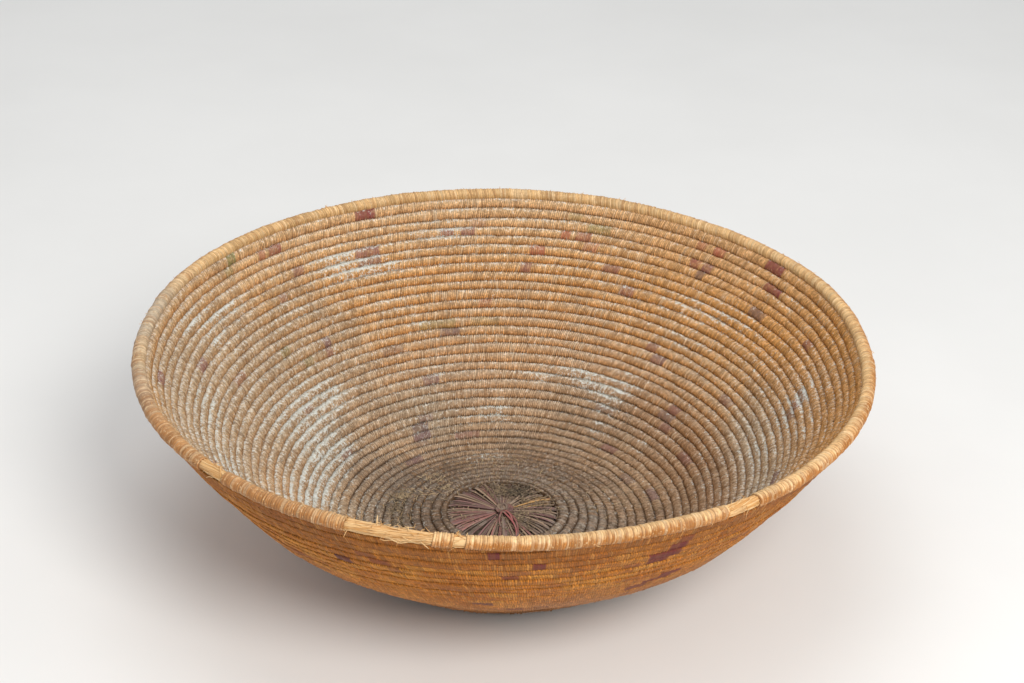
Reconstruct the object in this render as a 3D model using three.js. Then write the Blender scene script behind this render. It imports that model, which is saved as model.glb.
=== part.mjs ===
// A coiled winnowing basket: one grass coil wound as a spiral from a start disc of
// radiating strips, up a shallow bowl, to a thicker rim coil that is bound in its own wrap.
// Millimetres, +Z up. The origin is on the floor under the middle of the bowl.
import * as THREE from "three";

// Wall: the outline is the middle of the wall's thickness, as [radius, height] from the
// start disc, across the worn foot ring and up to the centre of the rim coil.
const RIM_RADIUS = 275;
const RIM_HEIGHT = 167.4;
const START_RADIUS = 43.5;
const START_HEIGHT = 12.2;
const FOOT_RADIUS = 103;
const FOOT_HEIGHT = 3.2;
const WALL_OUTLINE = [
  [START_RADIUS, START_HEIGHT],
  [77, 6.8],
  [FOOT_RADIUS, FOOT_HEIGHT],
  [126, 8],
  [147, 18.7],
  [174.5, 45.1],
  [204, 74],
  [230, 105.5],
  [256, 137.5],
  [RIM_RADIUS, RIM_HEIGHT],
];

// Coil: the first turn grows from a point and the last one thins out under the rim, so
// the rounds add up to one less than the number of turns. On the base each turn climbs
// steadily. Up the wall it lies level with the rim, and climbs a row near its end.
const COIL_TURNS = 38;
const COIL_THICKNESS = 7.5;
const COIL_START = 303.75; // azimuth, in degrees, where each turn of the coil begins
const CLIMB_LENGTH = 67.5; // degrees in which a turn on the wall climbs its row
const LEVEL_TURN = 16; // the first turn that lies level with the rim
const FIRST_TAPER = 45; // degrees left out where the first turn is too thin
const FINAL_TAPER = 22.5; // degrees left out where the last turn is too thin

// Rim: a straw bundle inside a bound wrap, which is worn through in three places.
const RIM_BUNDLE_RADIUS = 3.5;
const WRAP_INNER_RADIUS = 3.95;
const WRAP_OUTER_RADIUS = 4.95;
const WRAP_SPANS = {
  rim_wrap_left: [225, 247.5],
  rim_wrap_front: [258.75, 303.75],
  rim_wrap_back: [309.375, 579.375],
};

// Start: a knot through a small ring of foundation, with flat strips laid over it.
const STRIP_COUNT = 12;
const STRIP_THICKNESS = 1.8;
const BUNDLE_THICKNESS = 3.7;
const KNOT_RADIUS = 6.8;
const KNOT_RISE = 3.6;
const KNOT_NECK_RADIUS = 5;

// Clearance between sewn pieces, and the facets of the swept solids.
const GAP = 0.3;
const FLOOR = 0;
const RIM_SIDES = 64;
const WALL_SIDES = 32;
const BASE_SIDES = 16;
const BASE_TURNS = 10; // turns on the flat base, which take fewer sides

const rad = THREE.MathUtils.degToRad;

const outline = new THREE.SplineCurve(WALL_OUTLINE.map(([r, z]) => new THREE.Vector2(r, z)));
outline.arcLengthDivisions = 600;
const rimReach = WRAP_OUTER_RADIUS * Math.cos(Math.PI / 6) + GAP;
const wallLength = outline.getLength() - rimReach;
const pitch = wallLength / (COIL_TURNS - 1);

// The point that lies `along` millimetres up the wall, with the directions up the wall
// and square to it, towards the inside of the bowl.
function wallAt(along) {
  const share = THREE.MathUtils.clamp(along / outline.getLength(), 0, 1);
  const point = outline.getPointAt(share);
  const up = outline.getTangentAt(share);
  const inward = new THREE.Vector2(-up.y, up.x);
  return { point, up, inward };
}

// Turns a flat loop of [radius, height] points to an azimuth in degrees.
function loopAt(loop, azimuth) {
  const angle = rad(azimuth);
  return loop.map((p) => new THREE.Vector3(p.x * Math.cos(angle), p.x * Math.sin(angle), p.y));
}

// A closed solid through loops of equal length. With inner loops it is an open-ended tube.
function sweep(outerLoops, innerLoops = null) {
  const sides = outerLoops[0].length;
  const last = outerLoops.length - 1;
  const points = [...outerLoops, ...(innerLoops ?? [])].flat();
  const innerStart = outerLoops.length * sides;
  const index = [];
  const quad = (a, b, c, d) => index.push(a, b, c, a, c, d);
  for (let s = 0; s < last; s += 1) {
    for (let i = 0; i < sides; i += 1) {
      const j = (i + 1) % sides;
      const here = s * sides;
      const next = here + sides;
      quad(here + i, here + j, next + j, next + i);
      if (innerLoops) {
        quad(innerStart + here + j, innerStart + here + i, innerStart + next + i, innerStart + next + j);
      }
    }
  }
  const end = last * sides;
  for (let i = 0; i < sides; i += 1) {
    const j = (i + 1) % sides;
    if (innerLoops) {
      quad(i, innerStart + i, innerStart + j, j);
      quad(end + j, innerStart + end + j, innerStart + end + i, end + i);
    } else if (i > 0 && i < sides - 1) {
      index.push(0, j, i);
      index.push(end, end + i, end + j);
    }
  }
  const geometry = new THREE.BufferGeometry().setFromPoints(points);
  geometry.setIndex(index);
  geometry.computeVertexNormals();
  return geometry;
}

// Azimuths from start to end, in degrees, in even steps.
function stations(start, end, sides) {
  const count = Math.round(((end - start) * sides) / 360);
  return Array.from({ length: count + 1 }, (_, i) => start + ((end - start) * i) / count);
}

// The coil's section where it lies between two heights on the wall: a flattened hexagon
// whose flats face in and out. What would reach under the floor is worn flat.
function coilSection(lower, upper) {
  const width = upper - lower - GAP;
  const { point, up, inward } = wallAt((lower + upper) / 2);
  const fullness = 0.4 + (0.6 * Math.min(width, pitch)) / pitch;
  const half = (COIL_THICKNESS / 2) * fullness;
  const corners = [
    [-0.5, 0],
    [-0.25, 1],
    [0.25, 1],
    [0.5, 0],
    [0.25, -1],
    [-0.25, -1],
  ];
  return corners.map(([a, b]) => {
    const p = point.clone().addScaledVector(up, a * width).addScaledVector(inward, b * half);
    p.y = Math.max(p.y, FLOOR);
    return p;
  });
}

// How many rows above the start disc a turn's lower edge is, after a share of its round.
function edgeRow(turn, share) {
  const climb = THREE.MathUtils.smoothstep(share * 360, 360 - CLIMB_LENGTH, 360);
  const level = THREE.MathUtils.smoothstep(turn, 2, LEVEL_TURN);
  return turn - 2 + THREE.MathUtils.lerp(share, climb, level);
}

// One turn of the coil. Its lower edge is the turn before, and its upper edge the next.
function coilTurn(turn) {
  const first = turn === 1;
  const final = turn === COIL_TURNS;
  const trim = THREE.MathUtils.radToDeg(GAP / 2 / wallAt(pitch * (turn - 1)).point.x);
  const start = first ? FIRST_TAPER : 0;
  const end = final ? 360 - FINAL_TAPER : 360;
  const sides = turn <= BASE_TURNS ? BASE_SIDES : WALL_SIDES;
  const loops = stations(start, end, sides).map((swept) => {
    const share = swept / 360;
    const lower = first ? 0 : pitch * edgeRow(turn, share);
    const upper = final ? wallLength : pitch * edgeRow(turn + 1, share);
    const azimuth = COIL_START + THREE.MathUtils.clamp(swept, trim, 360 - trim);
    return loopAt(coilSection(lower, upper), azimuth);
  });
  return sweep(loops);
}

// A regular hexagon round the centre of the rim coil, with a flat side towards the wall.
function rimSection(radius) {
  const { up } = wallAt(outline.getLength());
  const tilt = Math.atan2(up.y, up.x) + Math.PI / 6;
  const corners = [0, 1, 2, 3, 4, 5].map((i) => tilt - (i * Math.PI) / 3);
  return corners.map(
    (a) => new THREE.Vector2(RIM_RADIUS + radius * Math.cos(a), RIM_HEIGHT + radius * Math.sin(a)),
  );
}

function rimBundle() {
  const trim = THREE.MathUtils.radToDeg(GAP / 2 / RIM_RADIUS);
  const loops = stations(0, 360, RIM_SIDES).map((swept) => {
    const azimuth = COIL_START + THREE.MathUtils.clamp(swept, trim, 360 - trim);
    return loopAt(rimSection(RIM_BUNDLE_RADIUS), azimuth);
  });
  return sweep(loops);
}

function rimWrap([start, end]) {
  const azimuths = stations(start, end, RIM_SIDES);
  const outer = azimuths.map((a) => loopAt(rimSection(WRAP_OUTER_RADIUS), a));
  const inner = azimuths.map((a) => loopAt(rimSection(WRAP_INNER_RADIUS), a));
  return sweep(outer, inner);
}

const bundleLow = START_HEIGHT - COIL_THICKNESS / 2 + GAP;
const bundleHigh = bundleLow + BUNDLE_THICKNESS;
const startOuter = START_RADIUS - GAP * 3;

// A solid of revolution about +Z from a profile of [radius, height] points.
function turned(profile) {
  return new THREE.LatheGeometry(profile, BASE_SIDES).rotateX(Math.PI / 2);
}

// The flat ring of foundation that the start strips are laid over.
function startBundle() {
  const inner = KNOT_NECK_RADIUS + GAP;
  const profile = [
    new THREE.Vector2(inner, bundleLow),
    new THREE.Vector2(startOuter, bundleLow),
    new THREE.Vector2(startOuter, bundleHigh),
    new THREE.Vector2(inner, bundleHigh),
    new THREE.Vector2(inner, bundleLow),
  ];
  return turned(profile);
}

// A knot whose neck fills the hole of the ring and whose head rests on it.
function startKnot() {
  const seat = bundleHigh + GAP;
  const profile = [
    new THREE.Vector2(0, bundleLow),
    new THREE.Vector2(KNOT_NECK_RADIUS, bundleLow),
    new THREE.Vector2(KNOT_NECK_RADIUS, seat),
    new THREE.Vector2(KNOT_RADIUS, seat),
    new THREE.Vector2(KNOT_RADIUS, seat + STRIP_THICKNESS),
    new THREE.Vector2(KNOT_RADIUS * 0.55, seat + KNOT_RISE),
    new THREE.Vector2(0, seat + KNOT_RISE),
  ];
  return turned(profile);
}

// A flat strip that widens from the knot to the edge of the start disc.
function startStrip(number) {
  const spread = Math.PI / STRIP_COUNT;
  const near = KNOT_RADIUS + GAP * 2;
  const far = startOuter;
  const edge = (radius) => radius * Math.tan(spread) - GAP;
  const shape = new THREE.Shape();
  shape.moveTo(near, -edge(near));
  shape.lineTo(far * Math.cos(spread), -edge(far * Math.cos(spread)));
  shape.lineTo(far * Math.cos(spread), edge(far * Math.cos(spread)));
  shape.lineTo(near, edge(near));
  shape.closePath();
  const geometry = new THREE.ExtrudeGeometry(shape, { depth: STRIP_THICKNESS, bevelEnabled: false });
  geometry.rotateZ((number * 2 * Math.PI) / STRIP_COUNT);
  geometry.translate(0, 0, bundleHigh + GAP);
  return geometry;
}

const straw = { roughness: 0.85, metalness: 0 };
const materials = {
  coil: new THREE.MeshStandardMaterial({ color: 0xb58a4e, ...straw }),
  rimBundle: new THREE.MeshStandardMaterial({ color: 0xe0c68c, ...straw }),
  rimWrap: new THREE.MeshStandardMaterial({ color: 0xd0aa6a, ...straw, roughness: 0.7 }),
  startBundle: new THREE.MeshStandardMaterial({ color: 0x8f7450, ...straw }),
  startStrip: new THREE.MeshStandardMaterial({ color: 0x9a5a48, ...straw, roughness: 0.75 }),
  knot: new THREE.MeshStandardMaterial({ color: 0x7c4a38, ...straw }),
};

const basket = new THREE.Group();

function add(name, geometry, material) {
  const mesh = new THREE.Mesh(geometry, material.clone());
  mesh.name = name;
  basket.add(mesh);
}

const numbered = (name, number) => `${name}_${String(number).padStart(2, "0")}`;

for (let turn = 1; turn <= COIL_TURNS; turn += 1) {
  add(numbered("coil_round", turn), coilTurn(turn), materials.coil);
}
add("rim_bundle", rimBundle(), materials.rimBundle);
for (const [name, span] of Object.entries(WRAP_SPANS)) {
  add(name, rimWrap(span), materials.rimWrap);
}
add("start_bundle", startBundle(), materials.startBundle);
add("start_knot", startKnot(), materials.knot);
for (let strip = 1; strip <= STRIP_COUNT; strip += 1) {
  add(numbered("start_strip", strip), startStrip(strip - 1), materials.startStrip);
}

export default basket;
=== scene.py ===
"""Looks of the coiled winnowing basket: a stitched straw coil, a bound and worn rim, and a start
disc of dyed strips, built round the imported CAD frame. Metres, +Z up."""

import math
from functools import partialmethod

import bpy
import numpy as np
from mathutils import Matrix, Vector


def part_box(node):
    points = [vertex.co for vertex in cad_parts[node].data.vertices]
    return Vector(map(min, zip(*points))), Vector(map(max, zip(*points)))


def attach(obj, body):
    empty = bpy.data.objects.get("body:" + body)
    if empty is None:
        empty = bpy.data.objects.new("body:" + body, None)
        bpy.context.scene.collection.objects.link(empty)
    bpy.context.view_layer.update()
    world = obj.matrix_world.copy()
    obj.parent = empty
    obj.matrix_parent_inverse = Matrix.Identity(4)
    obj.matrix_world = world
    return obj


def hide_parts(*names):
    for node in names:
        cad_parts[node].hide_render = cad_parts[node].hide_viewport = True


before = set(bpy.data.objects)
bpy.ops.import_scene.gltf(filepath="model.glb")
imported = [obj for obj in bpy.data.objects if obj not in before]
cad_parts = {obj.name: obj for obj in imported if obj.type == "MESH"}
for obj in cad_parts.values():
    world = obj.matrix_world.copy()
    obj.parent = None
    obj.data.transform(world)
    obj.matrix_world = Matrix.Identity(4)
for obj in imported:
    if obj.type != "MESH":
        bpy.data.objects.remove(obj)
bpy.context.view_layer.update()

MM = 0.001
TAU = 2 * math.pi

# Coil
STITCH = 1.6 * MM  # length of coil that one stitch covers
COIL_HALF = 3.75 * MM
COIL_START = 303.75  # azimuth, in degrees, where each turn begins
CLIMB = 67.5 / 360  # share of a turn on the wall in which it climbs its row
LEVEL_TURN = 16  # the first turn that lies level with the rim
FIRST_SHARE = 0.125  # the first turn grows out of the start disc from here on
FINAL_SHARE = 0.0625  # share of the last turn that is too thin to show
LEAN = -0.75 * MM  # how far a stitch leans along the coil on its way up
RELIEF = 0.085  # how proud a stitch stands, as a share of the coil's half thickness
OVERLAP = 1.04
RIM_LAP = 0.12  # rows by which the last turn reaches up behind the rim

# Rim
WRAP_STITCH = 1.5 * MM
WRAP_RADIUS = 4.95 * MM
BUNDLE_RADIUS = 3.55 * MM
STRAW_RADIUS = 0.42 * MM

# Start disc and loose bits
START_RADIUS = 43 * MM
RIBBONS = 9  # flat strips for each CAD strip
FIBRES = 2400
CRUMBS = 42000  # places tried for a crumb; most hold none

FLOOR_REACH = 6.0


# --- Where things are, read off the frame ---


def corners(node):
    """Radius, height and azimuth of a CAD node's corners."""
    co = np.array([v.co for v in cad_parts[node].data.vertices])
    return np.hypot(co[:, 0], co[:, 1]), co[:, 2], np.arctan2(co[:, 1], co[:, 0])


turn_nodes = sorted(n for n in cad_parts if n.startswith("coil_round_"))
TURNS = len(turn_nodes)
rim_r, rim_z = (float(values.mean()) for values in corners("rim_bundle")[:2])


def ease(value):
    """A smooth step from 0 to 1."""
    value = np.clip(value, 0, 1)
    return value * value * (3 - 2 * value)


def climbed(share, level):
    """The share of a row that a turn has climbed, from steadily (level 0) to late in its round."""
    return share + (ease((share - 1 + CLIMB) / CLIMB) - share) * level


def true_edge(turn, share):
    """How many rows above the start disc a turn's lower edge is, after a share of its round. It
    climbs steadily on the base, and near the end of each round on the wall."""
    return turn - 2 + climbed(share, ease((turn - 2) / (LEVEL_TURN - 2)))


def wall_table():
    """The middle of the wall from the start disc (row 0) to past the rim, in steps of a fraction
    of a row: row numbers, radius and height, the direction up the wall, and the rows' pitch."""
    middles = np.array([[v.mean() for v in corners(n)[:2]] for n in turn_nodes[1:-1]])
    shares = np.linspace(0, 1, 33)
    edges = np.array([true_edge(n, shares).mean() for n in range(2, TURNS + 1)])
    rows = (edges[:-1] + edges[1:]) / 2
    pitch = np.hypot(*np.diff(middles, axis=0).T).sum() / (rows[-1] - rows[0])
    rim_row = rows[-1] + math.hypot(rim_r - middles[-1, 0], rim_z - middles[-1, 1]) / pitch
    rows = np.append(rows, rim_row)
    points = np.vstack([middles, [rim_r, rim_z]])
    ends = [-1.0, rim_row + 1.0]
    first = points[0] + (points[0] - points[1]) * (rows[0] - ends[0]) / (rows[1] - rows[0])
    last = points[-1] + (points[-1] - points[-2]) / (rows[-1] - rows[-2])
    rows = np.concatenate([[ends[0]], rows, [ends[1]]])
    points = np.vstack([first, points, last])
    fine = np.linspace(rows[0], rows[-1], 1600)
    path = np.stack([np.interp(fine, rows, points[:, i]) for i in (0, 1)], 1)
    window = 61
    padded = np.pad(path, ((window // 2, window // 2), (0, 0)), "edge")
    even = np.ones(window) / window
    smooth = np.stack([np.convolve(padded[:, i], even, "valid") for i in (0, 1)], 1)
    slope = np.gradient(smooth, axis=0)
    slope /= np.linalg.norm(slope, axis=1, keepdims=True)
    return fine, path, slope, pitch


ROWS, PATH, SLOPE, PITCH = wall_table()
BODY_ROWS = TURNS - 1
STRIP_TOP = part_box("start_strip_01")[1].z


def wall_at(row):
    """Radius and height of the wall's middle, and the direction up the wall, at row numbers."""
    radius = np.interp(row, ROWS, PATH[:, 0])
    height = np.interp(row, ROWS, PATH[:, 1])
    up_r = np.interp(row, ROWS, SLOPE[:, 0])
    up_z = np.interp(row, ROWS, SLOPE[:, 1])
    return radius, height, up_r, up_z


# --- Hand-made unevenness ---


def wander(where, seed, slowest=3.0):
    """A smooth random wave of about unit height along `where`, which counts turns: the sum of
    nine sines, each quicker and lower than the one before."""
    draw = np.random.default_rng(seed)
    total = np.zeros_like(where)
    for i in range(9):
        frequency = slowest * 1.55**i * draw.uniform(0.85, 1.15)
        total += np.sin(TAU * (where * frequency + draw.random())) / (1 + 0.35 * i)
    return total / 1.9


def out_of_round(azimuth, row):
    """How far the wall leaves a true circle, outwards and upwards, growing towards the rim."""
    share = np.clip(row / BODY_ROWS, 0, 1.1) ** 1.5
    outward = 0.8 * np.cos(2 * azimuth + 0.6) + 0.5 * np.cos(3 * azimuth + 2.0)
    outward -= (2.4 + 0.7 * np.cos(azimuth)) * np.exp(-((np.sin(azimuth) / 0.27) ** 2))
    outward -= 1.8 * np.exp(-(((np.degrees(azimuth) % 360 - 331) / 12) ** 2))
    upward = 0.6 * np.cos(2 * azimuth + 1.4) + 0.4 * np.cos(5 * azimuth)
    return share * outward * MM, share * upward * MM


def share_of(azimuth):
    """The share of a coil's turn that lies before an azimuth."""
    return (azimuth - math.radians(COIL_START)) % TAU / TAU


def degrees_from(middle, azimuth):
    """Degrees from one azimuth to others, from -180 to 180."""
    return (np.degrees(azimuth) - middle + 180) % 360 - 180


def belly(azimuth, row):
    """How far the wall is pushed in, square to itself. The front sags: fuller half way up than
    the rest of the bowl, and rounder where it meets the base."""
    aside = np.abs(degrees_from(270, azimuth))
    fuller = 5.4 * ease((60 - aside) / 26) * np.exp(-(((row - 27.5) / 5.6) ** 2))
    rounder = 6.0 * ease((80 - aside) / 28) * np.exp(-(((row - 14.0) / 4.6) ** 2))
    return (rounder - fuller) * MM


# --- Meshes ---


def polar(radius, azimuth, height):
    """Points from their radius, azimuth and height."""
    values = np.broadcast_arrays(radius * np.cos(azimuth), radius * np.sin(azimuth), height)
    return np.stack(values, -1)


def make_piece(name, points, faces, material, nodes=(), attributes=None, uv=None):
    """A mesh piece that rides on the basket. `faces` is a list of corner index arrays, and `uv`
    has a place in the texture for each corner of each face."""
    mesh = bpy.data.meshes.new(name)
    counts = np.concatenate([np.full(len(f), f.shape[1]) for f in faces])
    loops = np.concatenate([f.ravel() for f in faces]).astype(np.int32)
    mesh.vertices.add(len(points))
    mesh.vertices.foreach_set("co", np.asarray(points, np.float32).ravel())
    mesh.loops.add(len(loops))
    mesh.loops.foreach_set("vertex_index", loops)
    mesh.polygons.add(len(counts))
    starts = (np.cumsum(counts) - counts).astype(np.int32)
    mesh.polygons.foreach_set("loop_start", starts)
    mesh.polygons.foreach_set("use_smooth", np.ones(len(counts), bool))
    if uv is not None:
        layer = mesh.uv_layers.new(name="OFBake")
        layer.data.foreach_set("uv", np.asarray(uv, np.float32).ravel())
    for key, values in (attributes or {}).items():
        kind = "vector" if values.shape[1] == 3 else "color"
        layer = mesh.attributes.new(key, "FLOAT_" + kind.upper(), "POINT")
        layer.data.foreach_set(kind, np.asarray(values, np.float32).ravel())
    mesh.update(calc_edges=True)
    mesh.validate()
    mesh.materials.append(material)
    piece = bpy.data.objects.new(name, mesh)
    bpy.context.scene.collection.objects.link(piece)
    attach(piece, "root")
    if nodes:
        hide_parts(*nodes)


def tube_faces(rings, sides, closed=False):
    """Quads of a tube whose rings follow each other, and its two end caps."""
    last = rings if closed else rings - 1
    ring, side = np.meshgrid(np.arange(last), np.arange(sides), indexing="ij")
    here = ring * sides
    there = (ring + 1) % rings * sides
    beside = (side + 1) % sides
    quads = np.stack([here + side, here + beside, there + beside, there + side], -1).reshape(-1, 4)
    if closed:
        return [quads]
    low = np.arange(sides)[::-1][None]
    high = np.arange(sides)[None] + (rings - 1) * sides
    return [quads, low, high]


def strip_uv(rings, sides, length, girth):
    """Lays a tube out in the texture as even strips, one above the other."""
    rows = max(1, round(math.sqrt(length / girth)))
    per = math.ceil((rings - 1) / rows)
    ring, side = np.meshgrid(np.arange(rings - 1), np.arange(sides), indexing="ij")

    def corner(further, beside):
        u = (ring % per + further) / per
        v = (ring // per + 0.04 + 0.92 * (side + beside) / sides) / rows
        return np.stack([u, v], -1)

    quads = np.stack([corner(0, 0), corner(0, 1), corner(1, 1), corner(1, 0)], 2).reshape(-1, 2)
    return np.concatenate([quads, np.zeros((2 * sides, 2))])


def per_point(along, around, own):
    """An attribute of a tube's points, from values for its rings, for its sides and for either."""
    values = np.broadcast_arrays(along[:, None], around, own)
    return np.stack(values, -1).reshape(-1, 3)


def make_joined(name, parts, material, nodes=()):
    """One piece from a list of (points, faces, attributes)."""
    points, faces, attributes, count = [], [], {}, 0
    for part_points, part_faces, part_attributes in parts:
        points.append(part_points)
        faces += [f + count for f in part_faces]
        count += len(part_points)
        for key, values in part_attributes.items():
            attributes.setdefault(key, []).append(values)
    by_size = {}
    for f in faces:
        by_size.setdefault(f.shape[1], []).append(f)
    joined = [np.concatenate(group) for group in by_size.values()]
    attributes = {key: np.concatenate(values) for key, values in attributes.items()}
    make_piece(name, np.concatenate(points), joined, material, nodes, attributes)


def strand(path, radius, sides=5, tip=1.0, flat=1.0, lift=(0.0, 0.0, 1.0), colour=0.5):
    """A thin straw along a path, thinner towards its tip, or a flat strip where flat is under 1."""
    path = np.asarray(path, float)
    along = np.gradient(path, axis=0)
    along /= np.linalg.norm(along, axis=1, keepdims=True) + 1e-12
    across = np.cross(along, np.asarray(lift, float))
    across /= np.linalg.norm(across, axis=1, keepdims=True) + 1e-9
    over = np.cross(across, along)
    angle = TAU * np.arange(sides) / sides
    length = np.linspace(0, 1, len(path))
    size = radius * (1 - (1 - tip) * length**2)[:, None, None]
    ring = across[:, None] * np.cos(angle)[None, :, None]
    ring = ring + over[:, None] * (flat * np.sin(angle))[None, :, None]
    points = (path[:, None] + ring * size).reshape(-1, 3)
    strip = per_point(length, np.arange(sides) / sides, colour)
    return points, tube_faces(len(path), sides), {"strand": strip}


# --- Dyed stitches and dust, as azimuth in degrees and row counted down from the rim ---

PURPLE = (0.200, 0.062, 0.085)
BURGUNDY = (0.235, 0.040, 0.050)
RED = (0.38, 0.070, 0.050)
VIOLET = (0.125, 0.060, 0.105)
PLUM = (0.125, 0.080, 0.090)
GREEN = (0.085, 0.19, 0.055)

# (azimuth, row, degrees of coil, colour, strength)
DYED = [
    (117.6, 1, 4, BURGUNDY, 1), (34, 1, 4.5, BURGUNDY, 1), (138, 2, 3, BURGUNDY, 0.8),
    (141, 2, 1.6, RED, 0.6), (47, 2, 2.6, RED, 0.75), (51, 2, 2.2, RED, 0.6),
    (32, 3, 4.5, BURGUNDY, 1), (96, 3, 3, PURPLE, 0.3), (48, 4, 2.2, PURPLE, 0.85),
    (51, 4, 2.2, BURGUNDY, 0.8), (75, 4, 3, BURGUNDY, 0.65), (78.5, 4, 1.8, RED, 0.7),
    (98, 4, 2.6, PURPLE, 0.75), (102, 4, 2.6, PURPLE, 0.75), (49, 5, 2, PLUM, 0.75),
    (73, 5, 3, RED, 0.5), (15, 5, 3, PURPLE, 0.7), (119, 5, 5, PURPLE, 0.75),
    (119, 6, 5, VIOLET, 0.6), (84, 6, 3, RED, 0.75), (32, 6, 4.5, PLUM, 0.75),
    (135, 5, 2.5, PURPLE, 0.6), (68, 7, 3.6, PURPLE, 0.65), (172, 7, 4, PURPLE, 0.65),
    (86, 8, 2.4, PURPLE, 0.6), (63, 9, 3, PURPLE, 0.6), (4, 8, 4.5, PLUM, 0.6),
    (3, 9, 3.5, PURPLE, 0.6), (2, 10, 4, PLUM, 0.55), (188, 3, 4, PURPLE, 0.7),
    (141, 7, 2, PURPLE, 0.5), (136, 13, 2.2, VIOLET, 0.7), (136.5, 14, 2.2, PURPLE, 0.5),
    (49, 15, 4, VIOLET, 0.65), (52, 14, 3, PURPLE, 0.55), (104, 15, 5, PLUM, 0.75),
    (36, 19, 4, PURPLE, 0.6), (37, 20, 5, PLUM, 0.6), (35, 21, 4, PURPLE, 0.5),
    (48, 26, 6, PURPLE, 0.6), (57, 22, 6, PLUM, 0.5), (95, 12, 3, RED, 0.4),
    (112, 20, 5, VIOLET, 0.55), (24, 15, 5, VIOLET, 0.5), (117, 24, 5, VIOLET, 0.45),
    (120, 25, 6, PLUM, 0.8), (121, 26, 7, VIOLET, 0.75), (123, 27, 5, PLUM, 0.4),
    (131, 29, 9, VIOLET, 0.6), (104, 27, 9, PURPLE, 0.5), (20, 22, 7, PURPLE, 0.5),
    (15, 27, 8, VIOLET, 0.5), (30, 28, 7, PLUM, 0.5), (152, 24, 5, PURPLE, 0.5),
    (153, 18, 4, PURPLE, 0.4), (120, 16, 6, PLUM, 0.45), (72, 3, 4.5, GREEN, 0.4),
    (77, 2, 3, GREEN, 0.22), (148, 1, 2, GREEN, 0.6), (150, 2, 2, GREEN, 0.3),
    (148, 12, 3, GREEN, 0.3), (143, 14, 3, GREEN, 0.3), (107, 14, 9, GREEN, 0.28),
    (95, 14, 7, GREEN, 0.2),
    # the side that faces the front
    (297, 2, 2.2, BURGUNDY, 0.6), (296.2, 2.6, 3.2, BURGUNDY, 1), (294.6, 3.6, 5, BURGUNDY, 1),
    (294, 4.6, 3.4, BURGUNDY, 1), (290, 5.4, 2.5, PURPLE, 0.5), (299, 9.2, 4, BURGUNDY, 0.9),
    (297, 10.2, 5, BURGUNDY, 0.9), (294, 11.2, 4, PURPLE, 0.8), (295, 12.8, 3.5, VIOLET, 0.8),
    (269, 2, 1.8, BURGUNDY, 1), (275.5, 3, 1.7, BURGUNDY, 0.95), (273, 4, 3, PURPLE, 0.35),
    (271.5, 5, 2.3, BURGUNDY, 0.8), (245.5, 6, 2.6, VIOLET, 0.9), (250, 4, 3, PURPLE, 0.45),
    (252, 5, 3.2, BURGUNDY, 0.6), (254, 6, 2, PURPLE, 0.5), (267, 12.6, 3.6, VIOLET, 0.9),
    (273, 15, 3, PURPLE, 0.6), (277.5, 14.6, 3.4, VIOLET, 0.7), (279, 7, 3, PURPLE, 0.3),
    (262, 9, 3, PURPLE, 0.3), (310, 6, 4, PURPLE, 0.45), (235, 9, 4, PURPLE, 0.4),
    # the back, which no view from the front shows
    (205, 9, 5, PURPLE, 0.6), (213, 14, 6, BURGUNDY, 0.55), (330, 7, 6, PURPLE, 0.6),
    (342, 12, 5, VIOLET, 0.6), (165, 11, 5, BURGUNDY, 0.4), (222, 20, 7, PURPLE, 0.5),
    (250, 22, 7, VIOLET, 0.5), (318, 18, 7, PURPLE, 0.5), (285, 20, 6, PLUM, 0.5),
    (345, 24, 9, PURPLE, 0.5), (200, 26, 9, VIOLET, 0.45), (265, 28, 10, PLUM, 0.4),
]

# Flour caught in the weave: (azimuth, row, degrees across, rows across, strength)
FLOUR = [
    (151, 17.5, 8, 2.6, 1), (142, 18, 6, 1.6, 0.8), (158, 20.5, 8, 2.4, 1),
    (165, 23.5, 12, 2.4, 1), (178, 23.5, 10, 2.2, 0.9), (190, 21, 14, 3, 0.8),
    (152, 23, 8, 1.6, 0.7), (165, 17, 9, 3, 0.55), (166, 3.2, 4, 1, 0.9), (159, 4.4, 4, 0.9, 1),
    (153, 5, 3.5, 0.8, 0.75), (163, 6.5, 6, 1.6, 0.5), (126.5, 4.6, 6, 1, 0.75),
    (124, 6.2, 7, 1.2, 0.7), (117.5, 6.5, 5, 0.8, 0.8), (103, 3.4, 6, 0.9, 0.5),
    (80, 19.5, 6, 1, 0.75), (65, 19.2, 7, 1.2, 0.95), (54.5, 18.6, 6, 1.2, 0.9),
    (57, 21, 6, 1.4, 0.9), (56.5, 24, 5, 1, 0.8), (72, 18.2, 7, 0.7, 0.6), (100, 24.2, 9, 1, 0.6),
    (92, 23.6, 5, 1.6, 0.75), (97, 30.6, 14, 0.8, 0.8), (38, 24, 4, 1, 0.6), (4, 7.5, 4, 1.6, 0.9),
    (3, 10.5, 5, 1.2, 0.6), (27, 3.2, 6, 1, 0.35), (37, 7.5, 7, 1.2, 0.5), (47, 8, 7, 1, 0.4),
    (48, 12, 7, 1, 0.5), (110, 19.2, 7, 1.2, 0.45), (115, 11, 5, 0.8, 0.55),
    (112, 13.2, 4, 0.8, 0.6), (358, 14, 8, 2.2, 0.45), (352, 9, 6, 2, 0.35), (200, 12, 12, 3, 0.6),
    (182, 9, 8, 2.4, 0.55), (172, 29, 9, 1.4, 0.55), (100, 30, 14, 1.6, 0.4),
    (90, 32.5, 16, 1.2, 0.3), (20, 31, 16, 1.6, 0.3), (340, 29, 14, 2, 0.3),
    (128, 31.5, 10, 1, 0.45), (214, 18, 14, 3.6, 0.5), (140, 8.5, 7, 1.2, 0.45),
    (100, 4, 34, 5, 0.36), (45, 9, 26, 3, 0.25), (205, 8, 30, 8, 0.22), (165, 12, 26, 7, 0.14),
    (8, 14, 16, 8, 0.3),
]

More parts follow.
